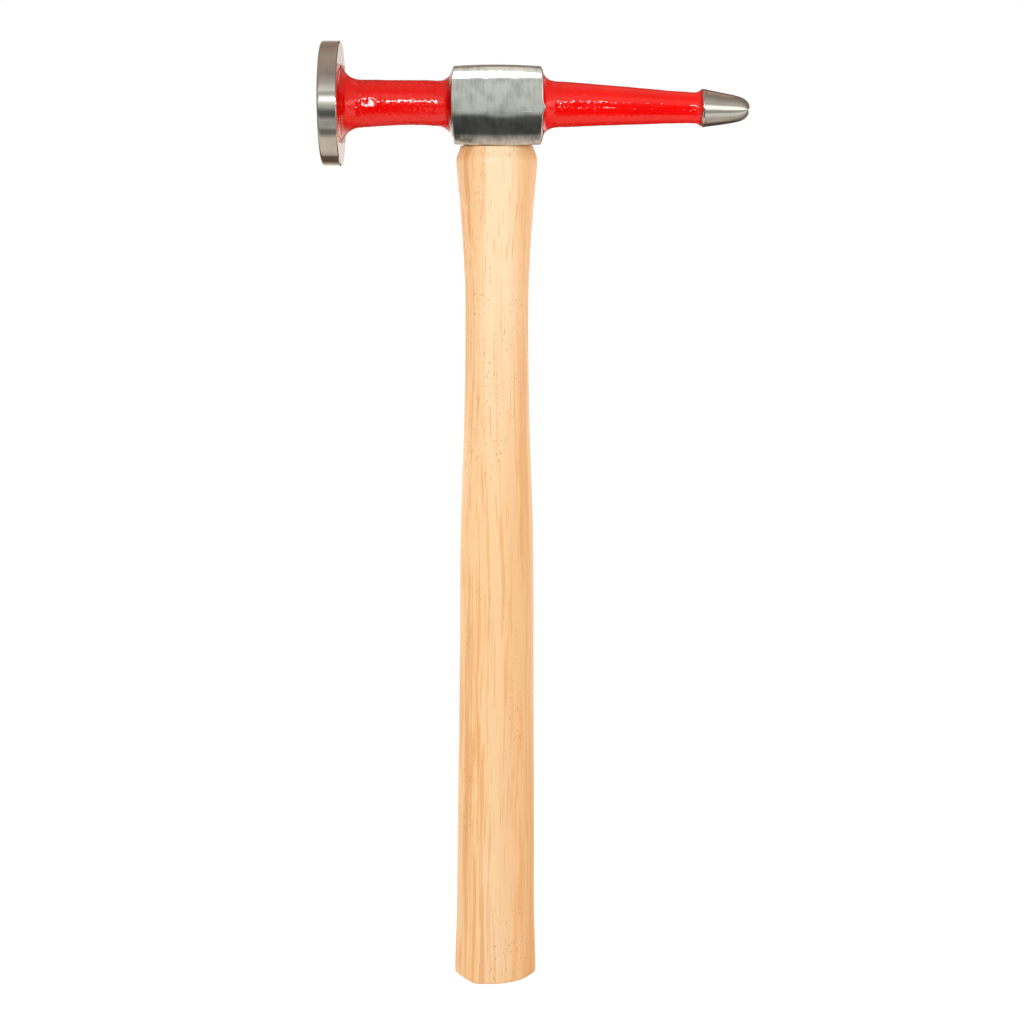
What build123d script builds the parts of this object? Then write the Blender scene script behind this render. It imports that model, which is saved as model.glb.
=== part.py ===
from build123d import *
import os
from math import acos, cos, pi, sin

# A sheet-metal worker's pick hammer: one forged steel head with a round flat face at
# one end and a blunt pick at the other, on a hickory handle that is wedged into it.
# Frame: the origin is the middle of the flat butt, +Z runs up the handle to the head,
# +X points along the pick and the round face looks along -X.

# Handle, seen from the butt up. Each width is along X and each depth along Y. The lower
# places are heights above the butt, and the upper ones are drops below the head.
shoulder_height = 285.7      # butt to the underside of the head
butt_width, butt_depth = 28.4, 23.0
butt_chamfer = 0.6
heel_height = 24.0
heel_width, heel_depth = 27.15, 22.3
palm_height = 70.0
palm_width, palm_depth = 26.3, 21.7
grip_drop = 160.0
grip_width, grip_depth = 25.05, 20.8
finger_drop = 125.0
finger_width, finger_depth = 24.35, 20.1
taper_drop = 86.0
taper_width, taper_depth = 21.55, 17.8
waist_drop = 57.0
waist_width, waist_depth = 20.85, 17.0
swell_drop = 37.0
swell_width, swell_depth = 21.75, 17.4
belly_drop = 5.0
belly_width, belly_depth = 26.35, 20.4
shoulder_ledge_length = 0.85 # how far the shoulder stands out past the eye, along X
shoulder_ledge_width = 2.1   # and along Y
oval_power = 2.25            # 2 is an ellipse, more is squarer
oval_points = 16
shaft_rings = 24             # sections that the shaft's surface passes through

# Eye block of the head, which the handle passes through.
block_height = 25.5
block_to_face_side = 13.9    # handle axis to the end of the block, towards the face
block_to_pick_side = 14.3
cheek_depth = 25.0           # across both cheeks where they stand out most
cheek_crest = 15.5           # height of that place above the underside
cheek_top_depth = 24.2       # across them where the top bevel starts
cheek_bottom_depth = 21.0    # and where the bottom one does
top_bevel = 0.9
bottom_bevel = 0.6
block_end_bevel = 0.4

# The eye is tapered from both ends, so that wedging the top locks the handle.
eye_top_length, eye_top_width = 22.8, 14.2
eye_throat_length, eye_throat_width = 21.6, 12.8
eye_bottom_length, eye_bottom_width = 22.2, 13.4
eye_throat_height = 10.0     # above the underside of the head
tenon_clearance = 0.05       # all round the tenon

# Face side of the head.
head_axis_height = 13.4      # above the underside of the head
face_reach = 57.1            # handle axis to the striking face
face_diameter = 40.0
face_thickness = 6.5
face_edge_radius = 1.0
face_back_edge = 0.3
neck_radius_at_face = 7.6
neck_radius_at_waist = 7.15
neck_radius_at_block = 7.35
neck_waist_reach = 27.0      # handle axis to the thinnest part of the neck
face_flare_length, face_flare_rise = 6.0, 6.5
neck_flare_margin = 0.35     # from the flare's rim to the top of the block

# Pick side of the head.
pick_reach = 82.3            # handle axis to the end of the pick
pick_droop = 1.25            # degrees, towards the handle
pick_axis_offset = -0.25     # height of the pick's axis above the face's, at the block
pick_root_radius = 7.4
pick_end_radius = 4.95
pick_flare_margin = 0.95
tip_length = 15.8
tip_root_radius = 6.1
tip_middle_radius = 5.05     # half way along the ogive
tip_step = 1.5               # length of the shoulder below the tip
tip_land = 2.4               # parallel stretch before that shoulder
nose_radius = 3.7            # of the ball that blunts the end
nose_length = 2.0            # how much of the pick that ball makes
seat_depth = 1.5             # how deep the neck and the pick run into the block

# Wedges, measured at the top of the head.
wood_wedge_thickness, wood_wedge_foot = 3.4, 0.9
wood_wedge_depth = 17.0
steel_wedge_thickness, steel_wedge_foot = 2.2, 0.6
steel_wedge_depth = 13.0
steel_wedge_width = 11.6     # along Y
steel_wedge_spacing = 11.6   # from one to the other
wedge_slot_clearance = 0.02

head_top = shoulder_height + block_height
head_axis = shoulder_height + head_axis_height
shoulder_width = eye_bottom_length + 2 * shoulder_ledge_length
shoulder_depth = eye_bottom_width + 2 * shoulder_ledge_width
block_above_axis = min(block_height - head_axis_height, head_axis_height)
neck_flare_radius = block_above_axis - neck_radius_at_block - neck_flare_margin
pick_above_axis = block_above_axis - pick_axis_offset
pick_flare_radius = pick_above_axis - pick_root_radius - pick_flare_margin
blank = 60.0                 # half size of a cutting blank, past anything it cuts


def oval(width, depth, height):
    """A flattened round section: a superellipse, level, at the given height."""
    steps = [2 * pi * i / oval_points for i in range(oval_points)]

    def side(value, half):
        return half * abs(value) ** (2 / oval_power) * (1 if value >= 0 else -1)

    points = [(side(cos(t), width / 2), side(sin(t), depth / 2)) for t in steps]
    outline = make_face(Spline(*points, periodic=True))
    return Plane.XY.offset(height) * outline


def eye_solid(clearance):
    """What fills the eye, smaller all round by the clearance."""
    stations = [
        (0.0, eye_bottom_length, eye_bottom_width),
        (eye_throat_height, eye_throat_length, eye_throat_width),
        (block_height, eye_top_length, eye_top_width),
    ]
    rings = [
        Plane.XY.offset(shoulder_height + rise)
        * Ellipse(length / 2 - clearance, width / 2 - clearance)
        for rise, length, width in stations
    ]
    return loft(rings[:2], ruled=True) + loft(rings[1:], ruled=True)


def eye_block():
    """The barrel-sided block round the eye, before the eye is cut."""
    top, bottom = block_height, 0.0
    cheek_top, cheek_bottom = top - top_bevel, bottom + bottom_bevel
    crest, upper, lower = cheek_depth / 2, cheek_top_depth / 2, cheek_bottom_depth / 2
    roof, sole = upper - top_bevel, lower - bottom_bevel
    outline = (
        Line((-sole, bottom), (sole, bottom))
        + Line((sole, bottom), (lower, cheek_bottom))
        + ThreePointArc((lower, cheek_bottom), (crest, cheek_crest), (upper, cheek_top))
        + Line((upper, cheek_top), (roof, top))
        + Line((roof, top), (-roof, top))
        + Line((-roof, top), (-upper, cheek_top))
        + ThreePointArc(
            (-upper, cheek_top), (-crest, cheek_crest), (-lower, cheek_bottom)
        )
        + Line((-lower, cheek_bottom), (-sole, bottom))
    )
    ends = Plane(
        origin=(-block_to_face_side, 0, shoulder_height), x_dir=(0, 1, 0), z_dir=(1, 0, 0)
    )
    length = block_to_face_side + block_to_pick_side
    block = extrude(ends * make_face(outline), amount=length)
    rims = block.faces().sort_by(Axis.X)
    return chamfer(rims[0].edges() + rims[-1].edges(), block_end_bevel)


def face_side():
    """The round striking disc and its waisted neck, turned about a level axis."""
    back = face_reach - face_thickness
    radius = face_diameter / 2
    flare_end = back - face_flare_length
    block_end = block_to_face_side
    flare_start = block_end + neck_flare_radius
    neck_top = neck_radius_at_block + neck_flare_radius
    flare_top = neck_radius_at_face + face_flare_rise
    root = block_end - seat_depth
    corner = face_edge_radius
    relief = face_back_edge
    half = 0.5 ** 0.5
    outline = (
        Line((root, 0), (root, neck_top))
        + Line((root, neck_top), (block_end, neck_top))
        + ThreePointArc(
            (block_end, neck_top),
            (
                flare_start - neck_flare_radius * half,
                neck_top - neck_flare_radius * half,
            ),
            (flare_start, neck_radius_at_block),
        )
        + ThreePointArc(
            (flare_start, neck_radius_at_block),
            (neck_waist_reach, neck_radius_at_waist),
            (flare_end, neck_radius_at_face),
        )
        + ThreePointArc(
            (flare_end, neck_radius_at_face),
            (
                flare_end + face_flare_length * half,
                flare_top - face_flare_rise * half,
            ),
            (back, flare_top),
        )
        + Line((back, flare_top), (back, radius - relief))
        + Line((back, radius - relief), (back + relief, radius))
        + Line((back + relief, radius), (face_reach - corner, radius))
        + ThreePointArc(
            (face_reach - corner, radius),
            (face_reach - corner * (1 - half), radius - corner * (1 - half)),
            (face_reach, radius - corner),
        )
        + Line((face_reach, radius - corner), (face_reach, 0))
        + Line((face_reach, 0), (root, 0))
    )
    turned = revolve(make_face(Plane.XZ * outline), axis=Axis.X)
    return Pos(0, 0, head_axis) * Rot(0, 0, 180) * turned


def pick_side():
    """The tapered pick with its ground tip, turned about an axis that droops a little."""
    length = pick_reach - block_to_pick_side
    flare_top = pick_root_radius + pick_flare_radius
    half = 0.5 ** 0.5
    tip_start = length - tip_length
    land_start = tip_start - tip_step - tip_land
    nose_start = length - nose_length
    nose_centre = length - nose_radius
    nose_angle = acos((nose_start - nose_centre) / nose_radius)
    nose_edge = nose_radius * sin(nose_angle)
    outline = (
        Line((-seat_depth, 0), (-seat_depth, flare_top))
        + Line((-seat_depth, flare_top), (0, flare_top))
        + ThreePointArc(
            (0, flare_top),
            (pick_flare_radius * (1 - half), flare_top - pick_flare_radius * half),
            (pick_flare_radius, pick_root_radius),
        )
        + Line((pick_flare_radius, pick_root_radius), (land_start, pick_end_radius))
        + Line((land_start, pick_end_radius), (tip_start - tip_step, pick_end_radius))
        + Line((tip_start - tip_step, pick_end_radius), (tip_start, tip_root_radius))
        + ThreePointArc(
            (tip_start, tip_root_radius),
            ((tip_start + nose_start) / 2, tip_middle_radius),
            (nose_start, nose_edge),
        )
        + ThreePointArc(
            (nose_start, nose_edge),
            (
                nose_centre + nose_radius * cos(nose_angle / 2),
                nose_radius * sin(nose_angle / 2),
            ),
            (length, 0),
        )
        + Line((length, 0), (-seat_depth, 0))
    )
    turned = revolve(make_face(Plane.XZ * outline), axis=Axis.X)
    seat = Pos(block_to_pick_side, 0, head_axis + pick_axis_offset)
    return seat * Rot(0, pick_droop, 0) * turned


def wedge_blank(thickness, foot, depth, clearance):
    """A long wedge along X with its thick end level with the top of the head."""
    top, bottom = thickness / 2 + clearance, foot / 2 + clearance
    outline = Polyline(
        (-top, head_top),
        (top, head_top),
        (bottom, head_top - depth - clearance),
        (-bottom, head_top - depth - clearance),
        close=True,
    )
    section = Plane.YZ * make_face(outline)
    return extrude(section, amount=blank, both=True)


def steel_wedge_solid(side, clearance):
    """A flat steel wedge across the head; side is -1 towards the face, 1 the pick."""
    blade = wedge_blank(
        steel_wedge_thickness, steel_wedge_foot, steel_wedge_depth, clearance
    )
    width = steel_wedge_width + 2 * clearance
    trim = Pos(0, 0, head_top) * Box(width, blank, blank)
    place = Pos(side * steel_wedge_spacing / 2, 0, 0) * Rot(0, 0, 90)
    return place * (blade & trim)


def head():
    """One steel forging, with the eye cut through its block."""
    return eye_block() - eye_solid(0) + face_side() + pick_side()


def shaft_stations():
    """Height, width and depth at each named place from the butt to the belly."""
    return [
        (0.0, butt_width, butt_depth),
        (heel_height, heel_width, heel_depth),
        (palm_height, palm_width, palm_depth),
        (shoulder_height - grip_drop, grip_width, grip_depth),
        (shoulder_height - finger_drop, finger_width, finger_depth),
        (shoulder_height - taper_drop, taper_width, taper_depth),
        (shoulder_height - waist_drop, waist_width, waist_depth),
        (shoulder_height - swell_drop, swell_width, swell_depth),
        (shoulder_height - belly_drop, belly_width, belly_depth),
    ]


def between(stations, height, column):
    """A cubic curve through the stations, with the mean slope of the spans at each."""
    slopes = [
        (after[column] - before[column]) / (after[0] - before[0])
        for before, after in zip(stations, stations[1:])
    ]
    ends = [slopes[0]] + [(a + b) / 2 for a, b in zip(slopes, slopes[1:])] + [slopes[-1]]
    last = len(stations) - 2
    span = max(i for i in range(last + 1) if i == 0 or stations[i][0] <= height)
    low, high = stations[span], stations[span + 1]
    run = high[0] - low[0]
    t = (height - low[0]) / run
    return (
        (1 + 2 * t) * (1 - t) ** 2 * low[column]
        + t * (1 - t) ** 2 * run * ends[span]
        + t * t * (3 - 2 * t) * high[column]
        + t * t * (t - 1) * run * ends[span + 1]
    )


def shaft():
    """The grip of the handle, from its chamfered butt up to the underside of the head."""
    stations = shaft_stations()
    belly_height = stations[-1][0]
    heights = [belly_height * i / (shaft_rings - 1) for i in range(shaft_rings)]
    rings = [
        oval(between(stations, height, 1), between(stations, height, 2), height)
        for height in heights
    ]
    shoulder = [rings[-1], oval(shoulder_width, shoulder_depth, shoulder_height)]
    body = loft(rings) + loft(shoulder, ruled=True)
    butt = body.faces().sort_by(Axis.Z)[0]
    return chamfer(butt.edges(), butt_chamfer)


def handle():
    """The hickory handle with the tenon that fills the eye, slotted for its wedges."""
    slots = [
        wedge_blank(
            wood_wedge_thickness, wood_wedge_foot, wood_wedge_depth, wedge_slot_clearance
        )
    ]
    slots += [steel_wedge_solid(side, wedge_slot_clearance) for side in (-1, 1)]
    return shaft() + (eye_solid(tenon_clearance) - slots)


def wood_wedge():
    """The hardwood wedge along the eye, cut across where the steel wedges pass."""
    blade = wedge_blank(wood_wedge_thickness, wood_wedge_foot, wood_wedge_depth, 0)
    fitted = blade & eye_solid(tenon_clearance)
    return fitted - [steel_wedge_solid(side, wedge_slot_clearance) for side in (-1, 1)]


def steel_wedge(side):
    """A steel wedge trimmed to the eye."""
    return steel_wedge_solid(side, 0) & eye_solid(tenon_clearance)


os.makedirs("parts", exist_ok=True)
export_step(head(), "parts/head.step")
export_step(handle(), "parts/handle.step")
export_step(wood_wedge(), "parts/wood_wedge.step")
export_step(steel_wedge(-1), "parts/steel_wedge_face_side.step")
export_step(steel_wedge(1), "parts/steel_wedge_pick_side.step")
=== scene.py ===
import bpy
from math import radians
import numpy as np
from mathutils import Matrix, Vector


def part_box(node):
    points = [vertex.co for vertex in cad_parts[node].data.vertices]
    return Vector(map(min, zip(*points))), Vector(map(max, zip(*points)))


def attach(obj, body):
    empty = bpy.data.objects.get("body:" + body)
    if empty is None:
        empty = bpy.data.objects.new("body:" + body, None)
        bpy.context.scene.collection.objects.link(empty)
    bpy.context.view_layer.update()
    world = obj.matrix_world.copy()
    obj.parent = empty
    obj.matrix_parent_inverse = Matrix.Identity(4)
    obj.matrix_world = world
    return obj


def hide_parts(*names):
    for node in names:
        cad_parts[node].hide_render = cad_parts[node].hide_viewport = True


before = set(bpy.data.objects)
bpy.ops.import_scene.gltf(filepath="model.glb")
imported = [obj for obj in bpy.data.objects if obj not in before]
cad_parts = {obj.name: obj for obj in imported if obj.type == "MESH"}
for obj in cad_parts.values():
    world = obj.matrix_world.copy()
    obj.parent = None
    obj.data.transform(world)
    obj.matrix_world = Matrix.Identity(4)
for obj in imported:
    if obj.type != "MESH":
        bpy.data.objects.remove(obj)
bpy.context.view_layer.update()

# ---- Head forging ----------------------------------------------------------------------
# One drop forging of tool steel: a thin round face and a long pick on either side of a block
# that is bored for the handle. The face, the block's cheeks and the pick's tip are ground
# bright after forging, and the neck and the pick between them keep their forged skin.

MM = 0.001
head_low, head_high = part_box("head")
block_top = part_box("wood_wedge")[1].z / MM      # the wedges are dressed flush with the block
face_x, pick_end_x = head_low.x / MM, head_high.x / MM
face_radius = 20.0
face_crown = 0.12           # how far the face's edge lies behind its middle
face_edge = 1.0             # radius of the round along that edge, which is 0.9 deep
face_lean = 0.004           # how far the face leans back at the top, per millimetre up
axis_z = head_high.z / MM - face_radius
block_height = 25.5
block_roof = block_top - axis_z                 # the block's top above the head's axis
block_sole = block_roof - block_height          # and its underside, below it
block_left, block_right = -13.9, 13.95
block_end_round = 0.3
bulge_left, bulge_right = 0.065, 0.05   # how far its ends bulge, as a share of their x
corner_fall, corner_rise = 0.5, 0.45    # how far they are rounded off above and below
rim_back = face_x + 6.4
rim_chamfer = 0.3           # a narrow flat where the rim meets the face's back
face_side = -45.0           # left of this x are the face and its flare, then the plain neck
forged_reach = 10.5         # forged skin shows no further from the axis than this
flare_turn = 1.7            # the stretch of a flare that turns from round to square

# The cheek's grinding runs out to a point in the pick's flare, this far along x and this far
# below the axis. A ripple that the grinding left runs along the cheek further down.
ground_point, ground_point_drop = 0.8, 1.3
ripple, ripple_drop, ripple_length = 0.02, 4.6, 21
skin_wave = 0.02            # height of the waves that hand grinding leaves, 7 mm long
face_calm, block_calm = 0.25, 0.7       # the share left on the face, and lost on the block

# The cheek leans back above and below its crest: height above the underside, and lean in
# degrees, where more than 0 faces upwards.
cheek_lean = [
    (0.0, -34.0), (1.0, -32.5), (2.2, -28.5), (3.2, -25.5), (4.6, -18.0), (7.6, -11.0),
    (9.6, -6.2), (11.2, -4.4), (16.0, -2.8), (20.5, -1.6), (21.1, -0.4), (21.6, 1.8),
    (22.8, 3.4), (23.6, 4.6), (24.1, 12.0), (24.5, 21.0), (25.5, 24.0),
]
cheek_crest_half = 12.5
roof_round, sole_round = 0.45, 0.5
roof_fall = 0.12            # from the middle of the roof to its edges, across the head

# Height of the neck's and the pick's own axis against the head's, as (x, height).
axis_drift = [
    (-57, -0.2), (-50, -0.2), (-45, -0.12), (-31, 0.26), (-23, 0.24), (-16, -0.2), (-13, -0.2),
    (15, -0.2), (20, -0.2), (34, -0.38), (49, -0.75), (65, -1.15), (72.5, -1.4), (82.3, -1.6),
]


def through(places, values, at):
    """A smooth line through set points. Between two of them it is the cubic that meets both
    values, with the slopes of the chords on either side."""
    places, values = np.asarray(places, float), np.asarray(values, float)
    slopes = np.gradient(values, places)
    k = np.clip(np.searchsorted(places, at, side="right") - 1, 0, len(places) - 2)
    gap = places[k + 1] - places[k]
    t = (at - places[k]) / gap
    rise, out, into = values[k + 1] - values[k], slopes[k] * gap, slopes[k + 1] * gap
    bend = 3 * rise - 2 * out - into
    return values[k] + out * t + bend * t**2 + (out + into - 2 * rise) * t**3


def smooth_path(points, steps):
    """The smooth line through (x, radius) points, cut into equal steps along its length."""
    points = np.array(points, float)
    chord = np.r_[0, np.cumsum(np.hypot(*np.diff(points, axis=0).T))]
    fine = np.linspace(0, chord[-1], 40 * len(points))
    x, r = through(chord, points[:, 0], fine), through(chord, points[:, 1], fine)
    length = np.r_[0, np.cumsum(np.hypot(np.diff(x), np.diff(r)))]
    at = np.linspace(0, length[-1], steps)
    return np.interp(at, length, x), np.interp(at, length, r)


def block_outline():
    """The block's section as (y, z) from the head's axis, once round from the middle of the
    roof. The half depth of the cheek is the sum of -tan(lean) over height, and a quadratic
    curve rounds it into the roof and the sole."""
    height = np.linspace(0, block_height, 400)
    lean = np.radians(np.interp(height, *np.array(cheek_lean).T))
    depth = np.r_[0, np.cumsum(np.tan(-lean[1:]) * np.diff(height))]
    depth += cheek_crest_half - depth.max()

    def corner(inner, tip, outer, steps=9):
        t = np.linspace(0, 1, steps)[:, None]
        return (1 - t) ** 2 * inner + 2 * t * (1 - t) * tip + t**2 * outer

    def at(level):
        return np.array([np.interp(level, height, depth), level + block_sole])

    top, bottom = at(block_height) - (0, roof_fall), at(0)
    roof = corner(top - (roof_round, 0), top, at(block_height - roof_round))
    sole = corner(at(sole_round), bottom, bottom - (sole_round, 0))
    levels = np.linspace(block_height - roof_round, sole_round, 62)[1:-1]
    cheek = np.array(at(levels)).T
    flat = np.linspace(0, 1, 18)[:, None]
    across = (0, block_roof) + flat[:-1] * (roof[0] - (0, block_roof))
    back = sole[-1] + flat[1:-1] * ((0, block_sole) - sole[-1])
    half = np.vstack([across, roof, cheek, sole, back])
    other = half[:0:-1] * (-1, 1)
    return np.vstack([half, [(0, block_sole)], other])


outline = block_outline()
outline_reach = np.hypot(*outline.T)
outline_way = outline / outline_reach[:, None]


def lumps(points, size, seed, waves=60):
    """A lumpy field of about -1 to 1: the sum of sine waves in all directions, each 0.6 to 1.6
    times size (in millimetres) long, over the square root of twice their number."""
    draw = np.random.default_rng(seed)
    way = draw.normal(size=(3, waves))
    way /= np.linalg.norm(way, axis=0)
    length = size * draw.uniform(0.6, 1.6, waves)
    phase = draw.uniform(0, 2 * np.pi, waves)
    field = np.sin(points @ (way * 2 * np.pi / length) / MM + phase).sum(axis=-1)
    return field / np.sqrt(waves / 2) / 2


def head_rings(x, radius, block, inset):
    """Points of the head's surface, one ring for each x. A ring is a circle of that radius
    about the axis where block is 0, the block's outline drawn in by inset where it is 1, and
    in between each point lies that far along the line from one to the other. Lumps make the
    skin wavy. On the block, the ripple is the height over its middle line, times a bell 2 mm
    wide and a cosine along x; x grows by the bulge times 1 - (height / roof)^2; and the ends
    are rounded off by (x / end)^2 times the fourth power of the height. The face leans by a
    share of the height, and the round bars follow their own axis."""
    x, radius, block, inset = (np.asarray(a, float)[:, None] for a in (x, radius, block, inset))
    radius = np.where(block > 0, np.minimum(radius, outline_reach), radius)
    reach = (1 - block) * radius + block * outline_reach * (1 - inset / cheek_crest_half)
    even = np.stack([x + 0 * reach, *(reach[..., None] * outline_way).transpose(2, 0, 1)], axis=-1)
    calm = np.where(x < rim_back, face_calm, 1 - block_calm * block)
    reach = reach + skin_wave * calm * lumps(even * MM, 7, 21)
    up = reach * outline_way[:, 1] + ripple_drop
    wave = ripple * up * np.exp(-((up / 2) ** 2)) * np.cos((x - 2) * 2 * np.pi / ripple_length)
    reach = reach - block * wave
    y, z = reach * outline_way[:, 0], reach * outline_way[:, 1]
    bulge = np.where(x < 0, bulge_left, bulge_right) * np.clip(1 - (z / block_roof) ** 2, 0, 1)
    point = np.exp(-((z + ground_point_drop) / ground_point_drop) ** 2)
    along = x * (1 + block * bulge)
    along = along + block * ground_point * np.clip(x / block_right, 0, 1) ** 6 * point
    along = along + np.where(x < face_side, face_lean * z, 0)
    end = (x / block_right) ** 2
    z = z - block * end * (corner_fall * np.clip(z / block_roof, 0, 1) ** 4)
    z = z + block * end * (corner_rise * np.clip(z / block_sole, 0, 1) ** 4)
    z = z + (1 - block) * np.interp(x, *np.array(axis_drift).T)
    return np.stack([along, y, axis_z + z], axis=-1) * MM


def flare(wall, root, power, steps=14):
    """A hollow flare from the point (x, radius) on a wall down to its root on a bar. With u and
    v the ways through in x and in radius, (1 - u)^power + (1 - v)^power = 1."""
    turn = np.linspace(0, np.pi / 2, steps)
    x = wall[0] + (root[0] - wall[0]) * (1 - np.cos(turn) ** (2 / power))
    radius = root[1] + (wall[1] - root[1]) * (1 - np.sin(turn) ** (2 / power))
    return np.stack([x, radius], axis=-1)


def ogive(start, end, steps=22):
    """The pick's tip: with t the way through in x, a cone that is rounded off at its end,
    radius = start * (1 - 0.38 t - 0.06 t^2) * sqrt(1 - t^10)."""
    t = np.sin(np.linspace(0, np.pi / 2, steps)[:-1])
    radius = start[1] * (1 - 0.38 * t - 0.06 * t**2) * np.sqrt(1 - t**10)
    return np.stack([start[0] + t * (end - start[0]), radius], axis=-1)


# The neck from the face's back to the block, and the pick from the block to its end, as
# (x, radius). The enamel lies on these, so they are thinner than the finished head.
neck_flare = flare((rim_back + 0.04, 14.6), (-43.5, 7.48), 2.35)
neck_points = np.vstack([
    [(rim_back, 19.4), (rim_back, 17), (rim_back, 15), (rim_back, 13.5), (rim_back, 12.8)],
    [(rim_back + 0.01, 12.4), (rim_back + 0.1, 12.0)],
    neck_flare[neck_flare[:, 1] < 11.6],
    [(-38.5, 7.26), (-33.3, 7.07), (-28, 6.99), (-23.5, 7.04), (-21.2, 7.1)],
    flare((block_left - 0.2, 13.1), (-19.3, 7.17), 1.95)[-2::-1],
])
neck_points = neck_points[neck_points[:, 0] <= block_left]
pick_points = np.vstack([
    flare((block_right - 0.05, 12.7), (20.4, 7.15), 2.4)[1:],
    [(33, 6.42), (47, 5.64), (60, 4.92), (63.4, 4.84), (64.6, 4.92), (65.3, 5.3), (66.1, 5.9)],
])
pick_points = pick_points[pick_points[:, 0] >= block_right]
pick_points = np.vstack([pick_points, [(66.3, 6.07)], ogive((66.4, 6.1), pick_end_x - 0.3)])
tip_edge = 66.2             # where the tip's ground face starts


def block_share(x):
    """How far a ring has turned from round to the block's outline: the cube of the way
    through the last part of each flare."""
    left = np.clip((x - block_left) / flare_turn + 1, 0, 1)
    right = np.clip((block_right - x) / flare_turn + 1, 0, 1)
    return (left * right) ** 3


def quarter(steps):
    """Cosine and sine over a quarter turn, without its first place."""
    a = np.linspace(0, np.pi / 2, steps + 1)[1:]
    return np.cos(a), np.sin(a)


edge_cos, edge_sin = quarter(7)
bevel_cos, bevel_sin = quarter(4)
flat_r = np.linspace(0.4, face_radius - face_edge, 18)
neck_x, neck_r = smooth_path(neck_points, 110)
pick_x, pick_r = smooth_path(pick_points, 240)
block_x = np.linspace(block_left + block_end_round, block_right - block_end_round, 34)
block_x = np.r_[block_x[0], block_x[0] + 0.04, block_x[1:-1], block_x[-1] - 0.04, block_x[-1]]
bevel_in, bevel_down = block_end_round * (1 - bevel_cos), block_end_round * (1 - bevel_sin)
GROUND, FORGED, LINISHED, TIP = range(4)        # the head's finishes, in its materials' order
stretches = [  # x, radius, inset of the block's outline, finish
    (face_x + face_crown * (flat_r / face_radius) ** 2, flat_r, 0, GROUND),
    (face_x + face_edge - 0.9 * edge_cos, face_radius - face_edge + edge_sin, 0, GROUND),
    (np.linspace(face_x + 1.4, rim_back - 0.5, 12), face_radius, 0, GROUND),
    (np.array([rim_back - rim_chamfer, rim_back]),
     np.array([face_radius, face_radius - rim_chamfer]), 0, GROUND),
    (neck_x, neck_r, block_end_round, np.where(neck_r > forged_reach, GROUND, FORGED)),
    (block_left + bevel_in, 0, bevel_down, LINISHED),
    (block_x[1:-1], 0, 0, LINISHED),
    (block_right - bevel_in[::-1], 0, bevel_down[::-1], LINISHED),
    (pick_x, pick_r, block_end_round, np.where(pick_x < tip_edge, FORGED, TIP)),
]


def surface(name, points, faces, finishes=None):
    """An object at the origin made of those points and faces. Finishes holds the number of
    each face's material."""
    mesh = bpy.data.meshes.new(name)
    mesh.from_pydata(points.tolist(), [], faces)
    if finishes is not None:
        mesh.polygons.foreach_set("material_index", np.asarray(finishes, np.int32))
    piece = bpy.data.objects.new(name, mesh)
    bpy.context.scene.collection.objects.link(piece)
    return piece


def soften(piece, angle=35):
    """Smooth shading, with an edge kept sharp where its faces turn by more than the angle."""
    piece.data.shade_smooth()
    piece.data.set_sharp_from_angle(angle=radians(angle))
    return piece


def tube(name, rings, ring_finish=None):
    """A closed skin over the rings, with a fan of triangles to a pole at each end. The rings go
    clockwise for someone who looks along the tube, so that the faces look outwards."""
    rows, columns = rings.shape[:2]
    here = np.arange(rows * columns).reshape(rows, columns)
    on = np.roll(here, -1, axis=1)
    quads = np.stack([here[:-1], here[1:], on[1:], on[:-1]], axis=-1).reshape(-1, 4)
    poles = rings[[0, -1]].mean(axis=1)
    first, last = rows * columns, rows * columns + 1
    start = np.stack([np.full(columns, first), here[0], on[0]], axis=-1)
    end = np.stack([np.full(columns, last), on[-1], here[-1]], axis=-1)
    faces = quads.tolist() + start.tolist() + end.tolist()
    if ring_finish is None:
        ring_finish = np.zeros(rows, int)
    finishes = np.repeat(np.r_[ring_finish[1:], ring_finish[0], ring_finish[-1]], columns)
    return surface(name, np.vstack([rings.reshape(-1, 3), poles]), faces, finishes)


def cut(piece, cutter):
    """Takes the closed shape of the cutter out of the piece, and does away with the cutter."""
    boolean = piece.modifiers.new("cut", "BOOLEAN")
    boolean.operation, boolean.solver, boolean.object = "DIFFERENCE", "EXACT", cutter
    bpy.context.view_layer.update()
    done = piece.evaluated_get(bpy.context.evaluated_depsgraph_get())
    mesh = bpy.data.meshes.new_from_object(done)
    piece.modifiers.clear()
    piece.data = mesh
    mesh.name = piece.name
    bpy.data.objects.remove(cutter)
    return piece


head_x, head_r, head_inset, head_finish = (
    np.concatenate([np.broadcast_to(stretch[k], stretch[0].shape) for stretch in stretches])
    for k in range(4)
)
rings = head_rings(head_x, head_r, block_share(head_x), head_inset)
head_forging = tube("head_forging", rings, head_finish)

# The eye is an oval hole that widens both ways from a throat 10 mm up.
eye_height, eye_half_length, eye_half_width = np.array([
    (0, 11.1, 6.7), (10, 10.8, 6.4), (block_height, 11.4, 7.1),
]).T


def eye_rings():
    """The eye as a cutter that stands out 1 mm below and above the block: level rings with
    x = half length * cos and y = half width * sin."""
    height = np.r_[-1, eye_height, block_height + 1]
    turn = np.linspace(0, 2 * np.pi, 96, endpoint=False)
    x = np.interp(height, eye_height, eye_half_length)[:, None] * np.cos(turn)
    y = np.interp(height, eye_height, eye_half_width)[:, None] * np.sin(turn)
    z = np.broadcast_to(axis_z + block_sole + height[:, None], x.shape)
    return np.stack([x, y, z], axis=-1) * MM


soften(cut(head_forging, tube("eye", eye_rings()[:, ::-1])))


def linear(colour):
    """An sRGB hex colour as linear red, green, blue and an alpha of 1."""
    part = np.array([int(colour[i:i + 2], 16) for i in (1, 3, 5)]) / 255
    part = np.where(part > 0.04045, ((part + 0.055) / 1.055) ** 2.4, part / 12.92)
    return (*part.tolist(), 1.0)


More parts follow.
